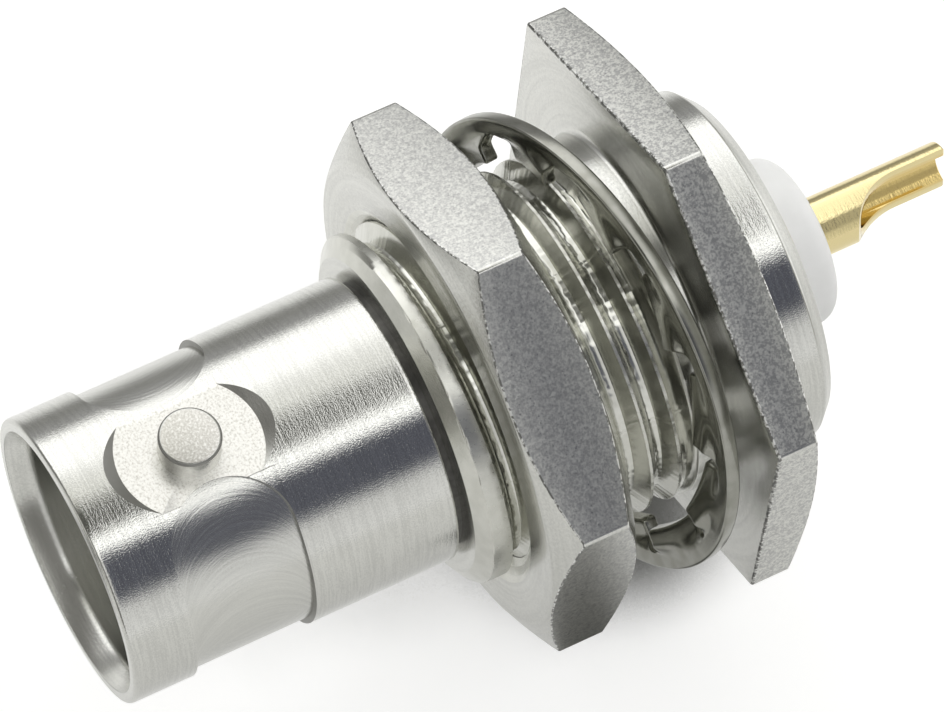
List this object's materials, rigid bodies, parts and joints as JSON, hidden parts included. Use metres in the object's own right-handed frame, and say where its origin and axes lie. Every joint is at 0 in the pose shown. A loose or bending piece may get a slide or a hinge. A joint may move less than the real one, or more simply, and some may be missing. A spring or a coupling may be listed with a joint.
{
  "type": "coaxial bulkhead jack",
  "caption": "Bayonet coaxial panel jack with a lugged shell, threaded barrel, hex flange, loose lock washer and hex nut, white insulator and gold solder-cup contact.",
  "frame": {"origin": "on the bore axis, on the front face of the hex flange that seats against the back of a panel", "axes": "+Y along the bore axis toward the solder cup, -Y out of the mating mouth, +Z and -Z through the two bayonet lugs, +X to one side"},
  "size_m": [0.017, 0.0314, 0.0196],
  "materials": {
    "nickel_body": "nickel plated, turned and milled",
    "white_insulator": "smooth white plastic",
    "gold_contact": "thin gold plating",
    "nickel_nut": "nickel plated, fine-grained flats",
    "plated_washer": "bright plated spring sheet"
  },
  "bodies": {
    "jack": {"connector_body": "nickel_body", "insulator": "white_insulator", "centre_contact": "gold_contact"},
    "washer": {"lock_washer": "plated_washer"},
    "nut": {"hex_nut": "nickel_nut"}
  },
  "joints": [
    {"name": "nut_turn", "type": "hinge", "parent": "jack", "child": "washer", "pos_m": [0, 0, 0], "axis": [0, 1, 0], "range_deg": [-1548, 0]},
    {"name": "nut_travel", "type": "slide", "parent": "washer", "child": "nut", "axis": [0, 1, 0], "range_m": [-0.00432, 0.00001]}
  ],
  "couplings": [
    {"joint": "nut_travel", "follows": "nut_turn", "m_per_rad": 0.00015915}
  ]
}
